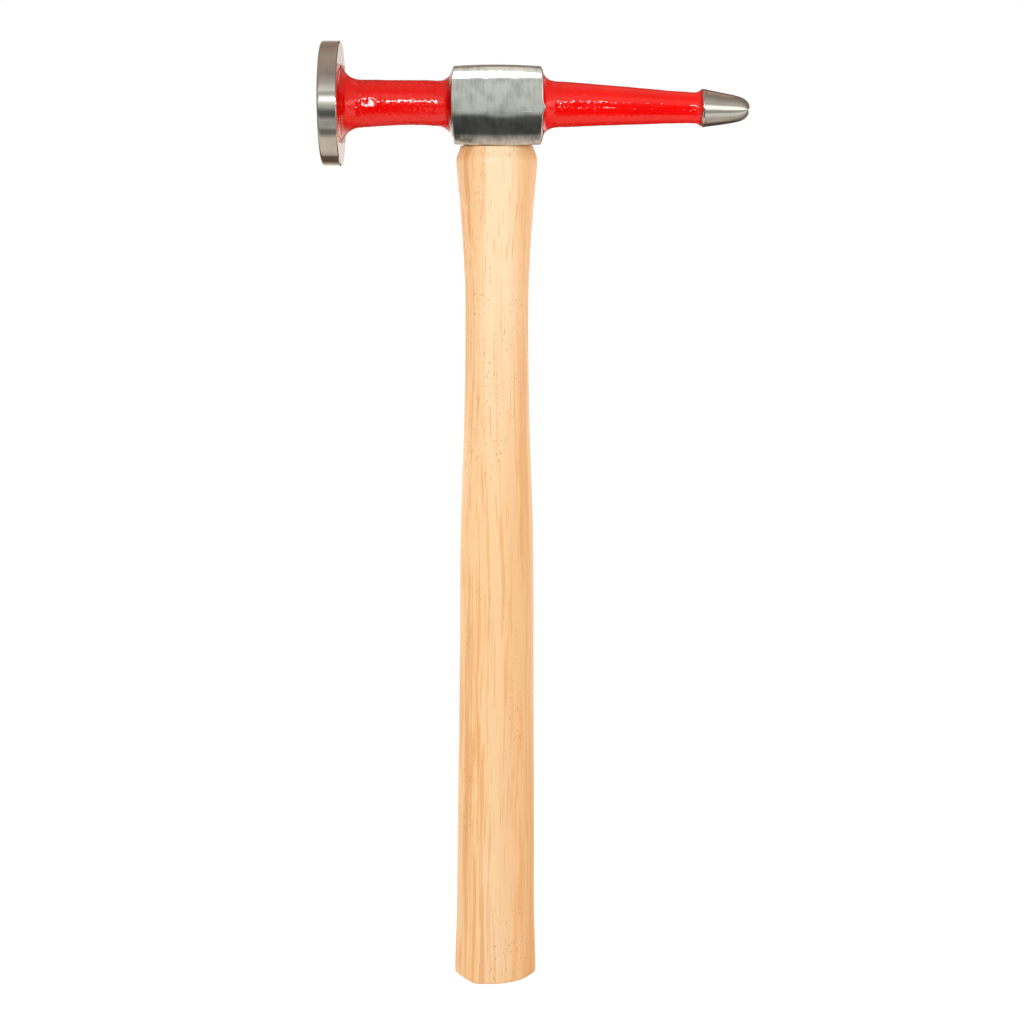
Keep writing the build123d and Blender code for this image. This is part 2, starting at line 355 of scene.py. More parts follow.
def feed(tree, node, inputs):
    """Gives inputs of a node a value or another socket each."""
    for name, value in inputs.items():
        if isinstance(value, bpy.types.NodeSocket):
            tree.links.new(value, node.inputs[name])
        else:
            node.inputs[name].default_value = value


def add(tree, kind, inputs=None, **settings):
    """Adds a node, with settings on the node itself and its inputs fed."""
    made = tree.nodes.new("ShaderNode" + kind)
    for name, value in settings.items():
        setattr(made, name, value)
    feed(tree, made, inputs or {})
    return made


def finish(name):
    """A new material, with its node tree and its surface shader."""
    made = bpy.data.materials.new(name)
    made.use_nodes = True
    return made, made.node_tree, made.node_tree.nodes["Principled BSDF"]


def stops(ramp, places):
    """Sets a colour ramp's stops to (place, colour) pairs."""
    ramp = ramp.color_ramp
    while len(ramp.elements) < len(places):
        ramp.elements.new(0.5)
    for element, (place, colour) in zip(ramp.elements, places):
        element.position, element.color = place, colour


# Ground tool steel: bright, with the fine lines that the wheel leaves round the work. They
# are drawn 0.35 mm apart, coarser than a fine wheel's, so that they show. A pattern's scale
# is the number of its features in a metre, here and further down.
ground_steel, tree, shader = finish("ground_tool_steel")
place = add(tree, "TexCoord")
lines = add(tree, "Mapping", {"Vector": place.outputs["Object"], "Scale": (2800, 30, 30)})
grit = add(tree, "TexNoise", {"Vector": lines.outputs[0], "Scale": 1.0, "Detail": 2.0})
cloud = add(tree, "TexNoise", {"Vector": place.outputs["Object"], "Scale": 160, "Detail": 3.0})
mixed = add(tree, "Math", {0: grit.outputs[0], 1: 0.5, 2: cloud.outputs[0]},
            operation="MULTIPLY_ADD")
tone = add(tree, "ValToRGB", {"Fac": mixed.outputs[0]})
stops(tone, [(0.55, linear("#c4c3c0")), (0.95, linear("#d2d1ce"))])
rough = add(tree, "MapRange", {"Value": grit.outputs[0], "To Min": 0.04, "To Max": 0.08})
bump = add(tree, "Bump", {"Height": grit.outputs[0], "Strength": 0.1, "Distance": 0.01 * MM})
feed(tree, shader, {"Base Color": tone.outputs[0], "Roughness": rough.outputs[0],
                    "Normal": bump.outputs[0], "Metallic": 1.0})

# Forged skin: grey scale with a grain of 1.4 mm, which the enamel covers.
forged_skin, tree, shader = finish("forged_steel_skin")
place = add(tree, "TexCoord")
scale = add(tree, "TexNoise", {"Vector": place.outputs["Object"], "Scale": 700, "Detail": 5.0})
tone = add(tree, "ValToRGB", {"Fac": scale.outputs[0]})
stops(tone, [(0.3, linear("#8c7d79")), (0.7, linear("#aa9b97"))])
rough = add(tree, "MapRange", {"Value": scale.outputs[0], "To Min": 0.28, "To Max": 0.45})
feed(tree, shader, {"Base Color": tone.outputs[0], "Roughness": rough.outputs[0],
                    "Metallic": 0.9})

# Linished tool steel: the cheeks are ground on a belt that runs up and down, which leaves
# lines 1 mm apart with finer ones between, and years on a rack have left small nicks, 4 mm
# apart, and a few scratches.
linished_steel, tree, shader = finish("linished_tool_steel")
place = add(tree, "TexCoord")
lines = add(tree, "Mapping", {"Vector": place.outputs["Object"], "Scale": (900, 900, 180)})
grit = add(tree, "TexNoise", {"Vector": lines.outputs[0], "Scale": 1.0, "Detail": 3.0})
cloud = add(tree, "TexNoise", {"Vector": place.outputs["Object"], "Scale": 230, "Detail": 2.0})
mixed = add(tree, "Math", {0: grit.outputs[0], 1: 0.8, 2: cloud.outputs[0]},
            operation="MULTIPLY_ADD")
tone = add(tree, "ValToRGB", {"Fac": mixed.outputs[0]})
stops(tone, [(0.7, linear("#bbbfbe")), (1.1, linear("#dadddc"))])
cells = add(tree, "TexVoronoi", {"Vector": place.outputs["Object"], "Scale": 240})
dot = add(tree, "MapRange", {"Value": cells.outputs["Distance"], "From Min": 0.08,
                             "From Max": 0.03, "To Max": 0.7})
slope = add(tree, "Mapping", {"Vector": place.outputs["Object"], "Rotation": (0, radians(13), 0),
                              "Scale": (90, 90, 2200)})
long = add(tree, "TexNoise", {"Vector": slope.outputs[0], "Scale": 1.0, "Detail": 0.0})
scratch = add(tree, "MapRange", {"Value": long.outputs[0], "From Min": 0.80, "From Max": 0.84})
nick = add(tree, "Math", {0: dot.outputs[0], 1: scratch.outputs[0]}, operation="MAXIMUM")
worn = add(tree, "Mix", {0: nick.outputs[0], 6: tone.outputs[0], 7: linear("#f4f4f2")},
           data_type="RGBA")
rough = add(tree, "MapRange", {"Value": grit.outputs[0], "To Min": 0.05, "To Max": 0.09})
rough = add(tree, "Mix", {0: nick.outputs[0], 2: rough.outputs[0], 3: 0.45})
bump = add(tree, "Bump", {"Height": grit.outputs[0], "Strength": 0.35, "Distance": 0.012 * MM})
feed(tree, shader, {"Base Color": worn.outputs[2], "Roughness": rough.outputs[0],
                    "Normal": bump.outputs[0], "Metallic": 1.0})

for material in (ground_steel, forged_skin, linished_steel, ground_steel):
    head_forging.data.materials.append(material)
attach(head_forging, "root")
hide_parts("head")

# ---- Enamel ----------------------------------------------------------------------------
# Red stoving enamel, brushed thick over the forged skin of the neck and of the pick, and
# ground off again where the face, the block and the tip are finished bright.

coat_thickness = 0.13
coat_root = 0.06            # how deep the coat's own back lies in the steel
corner_reach = 13.8         # from the axis to where the block's corners are ground bare
rim_band = 12.5             # half height of the enamel that is left on the face's back
rim_thin = 0.35             # how thick it is there, as a share of the rest

# A touch on the wet coat has left a small flat on the neck's front: where it is along x, the
# way it faces from the top, its distance from the axis, the slope and the half length of it,
# and how far the coat is swollen round it. In it is a pimple, at this x and height.
touch_x, touch_way, touch_reach = -41.7, radians(88), 7.47
touch_slope, touch_half, touch_swell = -0.045, 1.8, 0.14
pimple_x, pimple_z, pimple_high = -42.4, 1.1, 0.07

# How rough the forging is under the coat of the pick, as (x, share).
pick_rough = [
    (15, 0.5), (18, 1.1), (32, 1.1), (36, 0.2), (45, 0.2), (52, 0.4), (58, 0.4), (62, 0.1),
]


def outwards(rings):
    """Unit normals of a grid of rings, from the cross product of its two directions."""
    along = np.gradient(rings, axis=0)
    ahead, behind = np.roll(rings, -1, axis=1), np.roll(rings, 1, axis=1)
    normal = np.cross(along, ahead - behind)
    return normal / np.linalg.norm(normal, axis=-1, keepdims=True)


def coat(name, x, radius, inset, depth):
    """A thin closed coat over the rings at x: its face lies depth, in millimetres, above the
    steel and its back, of every fourth ring, lies coat_root below it. It ends where the face
    meets the back."""
    base = head_rings(x, radius, block_share(x), np.full(x.shape, inset))
    normal = outwards(base)
    depth = np.clip(depth(base), -coat_root, None)
    depth[[0, -1]] = -coat_root
    face = base + normal * depth[..., None] * MM
    back = (base - normal * coat_root * MM)[-2:0:-4]
    rings = np.concatenate([face, back])
    rows, columns = rings.shape[:2]
    here = np.arange(rows * columns).reshape(rows, columns)
    down, on = np.roll(here, -1, axis=0), np.roll(here, -1, axis=1)
    both = np.roll(down, -1, axis=1)
    quads = np.stack([here, down, both, on], axis=-1).reshape(-1, 4)
    return soften(surface(name, rings.reshape(-1, 3), quads.tolist()), 60)


def from_axis(points):
    """In millimetres, x and the height over the head's axis and the distance from it, and then
    the angle round it, 0 at the top and growing towards the front (-Y)."""
    x, y, z = points[..., 0] / MM, points[..., 1] / MM, points[..., 2] / MM - axis_z
    way = np.arctan2(-points[..., 1], points[..., 2] - axis_z * MM)
    return x, z, np.hypot(y, z), way


def taper(distance, length):
    """Runs from 0 to 1 over the length, level at both ends: 3t^2 - 2t^3."""
    t = np.clip(distance / length, 0, 1)
    return t * t * (3 - 2 * t)


def underneath(way):
    """Runs from 0 to 1 round the lower side, where the coat has sagged and dried in lumps."""
    return taper(-0.15 - np.cos(way), 0.5)


def inside_corners(points, seed):
    """1 over the middle of the block's end, and 0 past a lumpy line round its corners."""
    x, _, reach, way = from_axis(points)
    line = corner_reach + 0.5 * np.cos(way) + 0.4 * lumps(points, 4, seed)
    return np.where(np.abs(x) < 20, taper(line - reach, 0.9), 1)


def coat_on_neck(points):
    """Height of the coat over the steel of the neck: its thickness, lumps 6 and 1.5 mm long and
    more of them underneath, all thinner on the face's back. In front a bell round the touch
    is added and cut off by the touch's plane, whose distance is its reach over the cosine of
    the way to it, plus a square law past its end. The coat is gone at the block's corners, and
    on the face's back above and below a band and at the rim."""
    x, z, reach, way = from_axis(points)
    front = points[..., 1] < 0
    rim_line = rim_band + 0.12 * lumps(points, 5, 3)
    near_block = inside_corners(points, 4)
    near_rim = taper(rim_line - z, 0.5) * taper(rim_line + 0.3 + z, 0.5)
    near_rim = near_rim * taper(face_radius - 0.7 - reach, 0.5)
    near_rim = np.where(x < face_side, near_rim, 1)
    fine = 0.026 * lumps(points, 1.5, 5) + 0.03 * underneath(way) * lumps(points, 1.2, 11)
    level = coat_thickness + 0.020 * lumps(points, 6, 6) + fine * taper(x - rim_back - 1, 3)
    level = level * (rim_thin + (1 - rim_thin) * taper(x - rim_back - 0.1, 1.5))
    along = x - touch_x
    swell = touch_swell * np.exp(-(along / 4) ** 2 - (z / 4) ** 2)
    level = level + np.where(front, swell, 0)
    facing = np.clip(np.cos(way - touch_way), 0.5, None)
    past = np.clip(np.hypot(along, 1.2 * z) - touch_half, 0, None) ** 2
    touch = (touch_reach + touch_slope * along + 0.12 * past) / facing - reach
    level = np.where(x > face_side - 1, np.minimum(level, touch), level)
    pimple = np.exp(-((x - pimple_x) / 0.75) ** 2 - ((z - pimple_z) / 0.9) ** 2)
    level = level + np.where(front, pimple_high * pimple, 0)
    return (level + coat_root) * near_rim * near_block - coat_root


def coat_on_pick(points):
    """Height of the coat over the steel of the pick: its thickness, lumps 6 and 1.4 mm long,
    and lumps of 1 mm where the forging is rough and underneath. It is gone at the block's
    corners and at a wavy line on the tip's shoulder."""
    x, _, reach, way = from_axis(points)
    near_block = inside_corners(points, 7)
    tip_line = tip_edge + 0.1 + 0.3 * lumps(points, 3.5, 8)
    near_tip = taper(tip_line - x, 0.4)
    rough = np.maximum(np.interp(x, *np.array(pick_rough).T), underneath(way))
    level = coat_thickness + 0.020 * lumps(points, 6, 10) + 0.007 * lumps(points, 1.4, 9)
    level = level + 0.026 * rough * lumps(points, 0.95, 12)
    return (level + coat_root) * near_block * near_tip - coat_root


neck_x, neck_r = smooth_path(neck_points, 225)
neck_enamel = coat("neck_enamel", neck_x, neck_r, block_end_round, coat_on_neck)
pick_x, pick_r = smooth_path(pick_points, 360)
coated = pick_x < tip_edge + 1.5
pick_enamel = coat("pick_enamel", pick_x[coated], pick_r[coated], block_end_round, coat_on_pick)

# Stoving enamel: a deep glossy red that flows over the forging's lumps, with orange peel
# of about 1 mm. It is a shade deeper on the neck than on the pick. In the corners by the
# face, the block and the tip it is darkened to a deep red, which is painted shade, and
# under the flare by the face it is thin and pink.
red_enamel, tree, shader = finish("red_stoving_enamel")
place = add(tree, "TexCoord")
cloud = add(tree, "TexNoise", {"Vector": place.outputs["Object"], "Scale": 90, "Detail": 2.0})
tone = add(tree, "ValToRGB", {"Fac": cloud.outputs[0]})
stops(tone, [(0.35, linear("#f00402")), (0.65, linear("#fa0602"))])
split = add(tree, "SeparateXYZ", {0: place.outputs["Object"]})
left_end, right_end = -60, 70           # the length of the head that the ramp spans
along = add(tree, "MapRange", {"Value": split.outputs["X"], "From Min": left_end * MM,
                               "From Max": right_end * MM})
# painted shade: the red is darkened in the corners by the face, the block and the tip
painted_corner_shade = add(tree, "ValToRGB", {"Fac": along.outputs[0]})
stops(painted_corner_shade, [((x - left_end) / (right_end - left_end), (v, v, v, 1)) for x, v in [
    (rim_back + 0.8, 0.35), (rim_back + 2.6, 0.0), (block_left - 3.2, 0.0),
    (block_left - 1.6, 0.8), (block_right + 0.5, 0.8), (block_right + 1.4, 0.0),
    (tip_edge - 1.2, 0.0), (tip_edge - 0.3, 0.6)]])
neck = add(tree, "MapRange", {"Value": split.outputs["X"], "From Min": 10 * MM,
                              "From Max": -20 * MM, "To Max": 0.6})
low = add(tree, "MapRange", {"Value": split.outputs["Z"], "From Min": (axis_z - 7) * MM,
                             "From Max": (axis_z - 11) * MM, "To Max": 0.8})
outer = add(tree, "MapRange", {"Value": split.outputs["X"], "From Min": (rim_back + 4.5) * MM,
                               "From Max": (rim_back + 1) * MM})
thin = add(tree, "Math", {0: low.outputs[0], 1: outer.outputs[0]}, operation="MULTIPLY")
red = tone.outputs[0]
for share, colour in ((neck, "#e40201"), (painted_corner_shade, "#700503"), (thin, "#da9182")):
    red = add(tree, "Mix", {0: share.outputs[0], 6: red, 7: linear(colour)},
              data_type="RGBA").outputs[2]
peel = add(tree, "TexNoise", {"Vector": place.outputs["Object"], "Scale": 900, "Detail": 1.5})
bump = add(tree, "Bump", {"Height": peel.outputs[0], "Strength": 0.3, "Distance": 0.05 * MM})
feed(tree, shader, {"Base Color": red, "Normal": bump.outputs[0], "Roughness": 0.07,
                    "IOR": 1.6})

for piece in (neck_enamel, pick_enamel):
    piece.data.materials.append(red_enamel)
    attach(piece, "root")

# ---- Handle ----------------------------------------------------------------------------
# Split hickory, shaped on a copying lathe and a belt to a soft uneven octagon, with a
# chamfered shoulder under the head and a tenon through its eye, then lacquered clear.

shoulder_z = axis_z + block_sole
# (height, full width) up the handle. The depth is the width times the share below.
handle_widths = [
    (2.0, 28.7), (5.2, 28.65), (11.2, 28.2), (18.6, 27.7), (26, 27.4), (40, 27.15),
    (55, 26.95), (84, 26.25), (105.5, 25.75), (133.6, 25.35), (147.5, 25.15), (161, 24.65),
    (175, 23.65), (188.6, 22.55), (202, 21.8), (215, 21.4), (228.7, 21.2), (242, 21.4),
    (248, 22.0), (255, 22.7), (261.5, 23.5), (268, 24.5), (274.4, 25.65), (278.5, 26.35),
    (280.8, 26.65), (281.6, 26.55), (282.8, 25.8), (284, 24.9), (285.3, 24.1),
]
handle_bow = [(0, -0.1), (60, 0.0), (130, 0.1), (230, -0.08), (285, -0.1)]     # height, x
depth_share = [(0, 0.815), (60, 0.82), (160, 0.826), (229, 0.818), (270, 0.79), (286, 0.735)]


def oval_way(turn, power):
    """Reach of a superellipse of half size 1: (|cos|^power + |sin|^power)^(-1/power)."""
    return (np.abs(np.cos(turn)) ** power + np.abs(np.sin(turn)) ** power) ** (-1 / power)


# The flats that the belt leaves: the way each one faces, in degrees from the pick's side
# towards the back, and how far it lies from the handle's middle at the butt.
butt_half, butt_share = 14.2, 0.82      # half the butt's width, and its depth as a share
belt_flats = [
    (0, butt_half), (31, 12.1), (60, 11.6), (90, 12.0), (148, 12.2), (180, butt_half),
    (212, 12.2), (269, 11.8), (298, 11.2), (329, 11.5),
]


def flatted_way(turn, power):
    """Reach of a soft polygon: (sum over its flats of (cos(turn - facing) / distance)^power)
    ^(-1/power), where only the flats that a direction runs towards count."""
    facing, distance = np.array(belt_flats).T
    towards = np.cos(turn[:, None] - np.radians(facing)) / distance
    return (np.clip(towards, 0, None) ** power).sum(axis=1) ** (-1 / power)


def shaft_rings(z, half_width, half_depth, flatted):
    """Level rings up the handle. A ring lies between a superellipse of power 2.25 and the soft
    polygon of its flats, by the share flatted. It is scaled to its own width and depth, and
    below the shoulder it follows the handle's bow."""
    turn = np.linspace(0, 2 * np.pi, 176, endpoint=False)
    oval, flats = oval_way(turn, 2.25), flatted_way(turn, 16)
    oval = np.stack([oval * np.cos(turn), oval * np.sin(turn) * butt_share])
    flats = np.stack([flats * np.cos(turn), flats * np.sin(turn)]) / butt_half
    x, y = oval[:, None] + flatted[:, None] * (flats - oval)[:, None]
    x = x / np.abs(x).max(axis=1, keepdims=True) * half_width[:, None]
    y = y / np.abs(y).max(axis=1, keepdims=True) * half_depth[:, None]
    x = x + np.interp(z, *np.array(handle_bow).T)[:, None] * (z < shoulder_z)[:, None]
    return np.stack([x, y, np.broadcast_to(z[:, None], x.shape)], axis=-1) * MM


shaft_z = np.r_[np.linspace(2.2, 270, 150), np.linspace(271, 285.3, 44)]
shaft_width = through(*np.array(handle_widths).T, shaft_z)
shaft_depth = shaft_width * np.interp(shaft_z, *np.array(depth_share).T)
shaft_flatted = np.interp(shaft_z, [0, 30, 120, 240, 286], [1.0, 0.9, 0.6, 0.5, 0.6])
wide, deep = shaft_width[0] / 2, shaft_depth[0] / 2
top_wide, top_deep = shaft_width[-1] / 2, shaft_depth[-1] / 2
chamfer = [  # height, inset
    (0.0, 1.1), (0.0, 0.75), (0.12, 0.42), (0.45, 0.12), (0.9, 0.0), (1.5, 0.0),
]
tenon_clearance = 0.05      # all round, between the tenon and the eye
tenon_z = np.r_[0.1, 0.4, np.linspace(1, block_height - 0.3, 24)]
handle_stations = np.vstack([  # z, half width, half depth, share flatted
    [(0.0, s * wide, s * deep, 1.0) for s in (0.05, 0.35, 0.7)],
    [(z, wide - inset, deep - inset, 1.0) for z, inset in chamfer],
    np.stack([shaft_z, shaft_width / 2, shaft_depth / 2, shaft_flatted], axis=-1),
    [(shoulder_z - 0.03, top_wide - 0.25, top_deep - 0.2, 0.6)],
    [(shoulder_z - 0.02, 11.6, 7.4, 0.0)],
    np.stack([
        shoulder_z + tenon_z,
        np.interp(tenon_z, eye_height, eye_half_length) - tenon_clearance,
        np.interp(tenon_z, eye_height, eye_half_width) - tenon_clearance,
        np.zeros(tenon_z.shape),
    ], axis=-1),
    [(block_top - 0.3, s * 11.3, s * 7.0, 0.0) for s in (0.97, 0.6, 0.1)],
])
handle_hickory = tube("handle_hickory", shaft_rings(*handle_stations.T)[:, ::-1])


def wedge_slot(node, slack=0.04 * MM):
    """A closed wedge-shaped cutter larger than a wedge by the slack all round, and 1 mm taller:
    its four corners at the foot and at the top, read from that piece's own mesh."""
    low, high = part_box(node)
    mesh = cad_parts[node].data
    points = np.empty(len(mesh.vertices) * 3)
    mesh.vertices.foreach_get("co", points)
    points = points.reshape(-1, 3)
    rings = []
    for level, edge in ((low.z, low.z - slack), (high.z, high.z + MM)):
        row = points[np.abs(points[:, 2] - level) < 0.05 * MM]
        (x0, y0), (x1, y1) = row[:, :2].min(axis=0) - slack, row[:, :2].max(axis=0) + slack
        rings.append([(x0, y0, edge), (x0, y1, edge), (x1, y1, edge), (x1, y0, edge)])
    return tube("slot", np.array(rings))


wedges = ("wood_wedge", "steel_wedge_face_side", "steel_wedge_pick_side")
for node in wedges:
    cut(handle_hickory, wedge_slot(node))
soften(handle_hickory)

# Lacquered hickory: streaks 3 mm and 1 mm wide that run the handle's length, fibres 0.4 mm
# wide, thin brown lines where pores are cut along, and short flecks. A paler band up the middle
# is painted highlight. The pick's side is riper, and end grain at the shoulder is darker.
hickory, tree, shader = finish("lacquered_hickory")
place = add(tree, "TexCoord")
slow = add(tree, "Mapping", {"Vector": place.outputs["Object"], "Scale": (60, 60, 9)})
drift = add(tree, "TexNoise", {"Vector": slow.outputs[0], "Scale": 1.0, "Detail": 2.0})
warp = add(tree, "VectorMath", {0: drift.outputs["Color"], "Scale": 5 * MM}, operation="SCALE")
moved = add(tree, "VectorMath", {0: place.outputs["Object"], 1: warp.outputs[0]}, operation="ADD")
split = add(tree, "SeparateXYZ", {0: moved.outputs[0]})


def streaks(across, along, detail):
    """Noise drawn out along the handle: so many features a metre across it and along it."""
    pulled = add(tree, "Mapping", {"Vector": moved.outputs[0], "Scale": (across, across, along)})
    return add(tree, "TexNoise", {"Vector": pulled.outputs[0], "Scale": 1.0, "Detail": detail})


broad, narrow, fibre = streaks(330, 7, 2.0), streaks(1000, 18, 2.0), streaks(2600, 60, 2.0)
mixed = broad
for finer, share in ((narrow, 0.6), (fibre, 0.45)):
    mixed = add(tree, "Math", {0: finer.outputs[0], 1: share, 2: mixed.outputs[0]},
                operation="MULTIPLY_ADD")
tone = add(tree, "ValToRGB", {"Fac": mixed.outputs[0]})
stops(tone, [(0.80, linear("#edac69")), (0.96, linear("#f3b475")), (1.08, linear("#f7be80")),
             (1.25, linear("#facb93"))])
# painted highlight: left, right and height make the paler band up the middle, strongest under the
# head, faint at mid height and a little stronger at the butt
left = add(tree, "MapRange", {"Value": split.outputs["X"], "From Min": -3.5 * MM,
                              "From Max": -1 * MM}, interpolation_type="SMOOTHSTEP")
right = add(tree, "MapRange", {"Value": split.outputs["X"], "From Min": 12.5 * MM,
                               "From Max": 5.5 * MM}, interpolation_type="SMOOTHSTEP")
level = add(tree, "MapRange", {"Value": split.outputs["Z"], "From Min": 0, "From Max": 300 * MM})
height = add(tree, "ValToRGB", {"Fac": level.outputs[0]})
stops(height, [(0.03, (0.38,) * 4), (0.2, (0.2,) * 4), (0.4, (0.08,) * 4), (0.55, (0.12,) * 4),
               (0.66, (0.4,) * 4), (0.8, (0.84,) * 4), (0.95, (0.9,) * 4)])
pale = add(tree, "Math", {0: left.outputs[0], 1: right.outputs[0]}, operation="MULTIPLY")
pale = add(tree, "Math", {0: pale.outputs[0], 1: height.outputs[0]}, operation="MULTIPLY")
ripe = add(tree, "MapRange", {"Value": split.outputs["X"], "From Min": 2 * MM,
                              "From Max": 7 * MM, "To Max": 0.45},
           interpolation_type="SMOOTHSTEP")
cut_pores = streaks(1900, 22, 0.0)
pores = add(tree, "MapRange", {"Value": cut_pores.outputs[0], "From Min": 0.66, "From Max": 0.74,
                               "To Max": 0.45})
short = streaks(2400, 900, 0.0)
patchy = streaks(90, 25, 1.0)
fleck = add(tree, "MapRange", {"Value": short.outputs[0], "From Min": 0.72, "From Max": 0.78,
                               "To Max": 0.7})
where = add(tree, "MapRange", {"Value": patchy.outputs[0], "From Min": 0.5, "From Max": 0.62})
fleck = add(tree, "Math", {0: fleck.outputs[0], 1: where.outputs[0]}, operation="MULTIPLY")
facing = add(tree, "SeparateXYZ", {0: place.outputs["Normal"]})
end_grain = add(tree, "MapRange", {"Value": facing.outputs["Z"], "From Min": 0.25, "From Max": 0.8,
                                   "To Max": 0.5})
wood = tone.outputs[0]
for share, colour in (
    (ripe, "#e9a765"), (pale, "#fadcb2"), (pores, "#d99a5a"), (fleck, "#b67a42"),
    (end_grain, "#e0a063"),
):
    wood = add(tree, "Mix", {0: share.outputs[0], 6: wood, 7: linear(colour)},
               data_type="RGBA").outputs[2]
bump = add(tree, "Bump", {"Height": fibre.outputs[0], "Strength": 0.12, "Distance": 0.04 * MM})
feed(tree, shader, {"Base Color": wood, "Normal": bump.outputs[0], "Roughness": 0.5,
                    "Coat Weight": 0.6, "Coat Roughness": 0.28})
handle_hickory.data.materials.append(hickory)
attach(handle_hickory, "root")
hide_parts("handle")

# ---- Wedges ----------------------------------------------------------------------------
# A hardwood wedge spreads the tenon across the head and two mild steel wedges are driven
# across it. All three are dressed flush with the block's top.

# Hardwood end grain with pores of 0.4 mm, and mild steel as it left the mill, grey and
# clouded over 0.7 mm.
wedge_finishes = []
for name, scale, dark, light, metallic, roughness in (
    ("dressed_hardwood_end_grain", 2600, "#a87443", "#c8935d", 0.0, 0.6),
    ("mill_finished_mild_steel", 1500, "#8f8d8a", "#b4b2ae", 1.0, 0.38),
):
    made, tree, shader = finish(name)
    place = add(tree, "TexCoord")
    grain = add(tree, "TexNoise", {"Vector": place.outputs["Object"], "Scale": scale,
                                   "Detail": 3.0})
    tone = add(tree, "ValToRGB", {"Fac": grain.outputs[0]})
    stops(tone, [(0.35, linear(dark)), (0.65, linear(light))])
    feed(tree, shader, {"Base Color": tone.outputs[0], "Metallic": metallic,
                        "Roughness": roughness})
    wedge_finishes.append(made)
wedge_wood, wedge_steel = wedge_finishes
for node, material in zip(wedges, (wedge_wood, wedge_steel, wedge_steel)):
    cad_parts[node].material_slots[0].material = material

# ---- Camera ----------------------------------------------------------------------------
# It stands 660 mm in front of the handle and 12 mm below the head's axis, and looks down at
# the handle by 10.6 degrees.

camera = bpy.data.objects.new("camera", bpy.data.cameras.new("camera"))
bpy.context.scene.collection.objects.link(camera)
camera.data.lens, camera.data.sensor_width = 70, 36
camera.location = (0.0047, -0.65917, (axis_z - 11.9) * MM)
camera.rotation_euler = (radians(90 - 10.553), radians(-0.17), 0)
bpy.context.scene.camera = camera

# ---- Floor -----------------------------------------------------------------------------
# A wide pale floor under the butt. For the camera it glows up to white, less the object's
# shadow, and mirrors look through it to the pale tent round the studio.

floor_half = 6.0            # metres
corners = floor_half * np.array([(-1, -1, 0), (1, -1, 0), (1, 1, 0), (-1, 1, 0)])
floor = surface("floor", corners, [(0, 1, 2, 3)])
pale, tree, shader = finish("pale_paper_floor")
feed(tree, shader, {"Base Color": (0.94, 0.94, 0.94, 1), "Roughness": 1.0,
                    "Specular IOR Level": 0.0})
path = add(tree, "LightPath")
glow = add(tree, "Emission", {"Color": (1, 1, 1, 1), "Strength": 0.45})
lit = add(tree, "AddShader", {0: shader.outputs[0], 1: glow.outputs[0]})
seen = add(tree, "MixShader", {0: path.outputs["Is Camera Ray"], 1: shader.outputs[0],
                               2: lit.outputs[0]})
clear = add(tree, "BsdfTransparent")
both = add(tree, "MixShader", {0: path.outputs["Is Glossy Ray"], 1: seen.outputs[0],
                               2: clear.outputs[0]})
feed(tree, tree.nodes["Material Output"], {"Surface": both.outputs[0]})
floor.data.materials.append(pale)

# ---- Light -----------------------------------------------------------------------------
# A pale tent all round, a wide soft lamp in front to the left of the camera, and two small
# ones to its right, above and below.

# What polished metal sees of the tent is panels and gaps, and face, bars, block and tip each
# see their own part of it. A stop is (degrees up from straight ahead, over the top to behind;
# how bright it looks in polished steel; how warm it is).
steel_share = 0.6           # what polished steel returns of the light that meets it
face_panels = [
    (-180, 0.9, 0.0), (-163, 0.7, 0.06), (-142, 0.25, 0.24), (-134, 0.09, 0.36),
    (-114, 0.10, 0.35), (-108, 0.4, 0.2), (-98, 0.5, 0.16), (-67, 0.5, 0.12),
    (-61, 0.28, 0.09), (-56, 0.13, 0.06), (-50, 0.15, 0.05), (-44, 0.34, 0.03),
    (-38, 0.29, 0.03), (-31, 0.36, 0.03), (-25, 0.15, 0.04), (-21, 0.08, 0.02),
    (-14, 0.10, 0.0), (-8, 0.30, 0.0), (-2, 0.45, 0.0), (3, 0.75, 0.0), (12, 0.75, 0.0),
    (16, 0.36, 0.06), (19, 0.33, 0.06), (24, 0.58, 0.0), (29, 0.53, 0.05), (36, 0.40, 0.1),
    (54, 0.25, 0.17), (90, 0.31, 0.22), (125, 0.22, 0.3), (150, 0.22, 0.2), (168, 0.5, 0.1),
    (180, 0.55, 0.08),
]
bar_panels = [
    (-180, 0.08, 0.1), (-145, 0.05, 0.3), (-127, 0.08, 0.3), (-106, 0.38, 0.2),
    (-92, 0.48, 0.2), (-72, 0.50, 0.2), (-67, 0.2, 0.16), (-62, 0.07, 0.1), (-56, 0.01, 0.0),
    (-16, 0.01, 0.0), (-3, 0.05, 0.0), (6, 0.12, 0.0), (13, 0.28, 0.1), (22, 0.46, 0.1),
    (34, 0.44, 0.1), (45, 0.28, 0.1), (58, 0.21, 0.2), (68, 0.26, 0.25), (85, 0.34, 0.25),
    (105, 0.38, 0.25), (120, 0.32, 0.3), (135, 0.12, 0.5), (180, 0.08, 0.4),
]
block_panels = [
    (-180, 0.55, 0.1), (-142, 0.10, 0.3), (-104, 0.42, 0.2), (-66, 0.46, 0.2), (-60, 0.4, 0.19),
    (-54, 0.24, 0.12), (-48, 0.09, 0.03), (-43, 0.05, 0.0), (-25, 0.045, 0.0), (-16, 0.06, 0.0),
    (-12.5, 0.13, 0.0), (-10, 0.3, 0.0), (-7, 0.42, 0.0), (-3, 0.46, 0.0), (0, 0.44, 0.0),
    (2, 0.5, 0.0), (4, 0.66, 0.0), (11, 0.66, 0.0), (25, 0.6, 0.1), (40, 0.6, 0.12),
    (46, 0.33, 0.16), (52, 0.17, 0.2), (90, 0.27, 0.25), (130, 0.12, 0.4), (180, 0.3, 0.2),
]
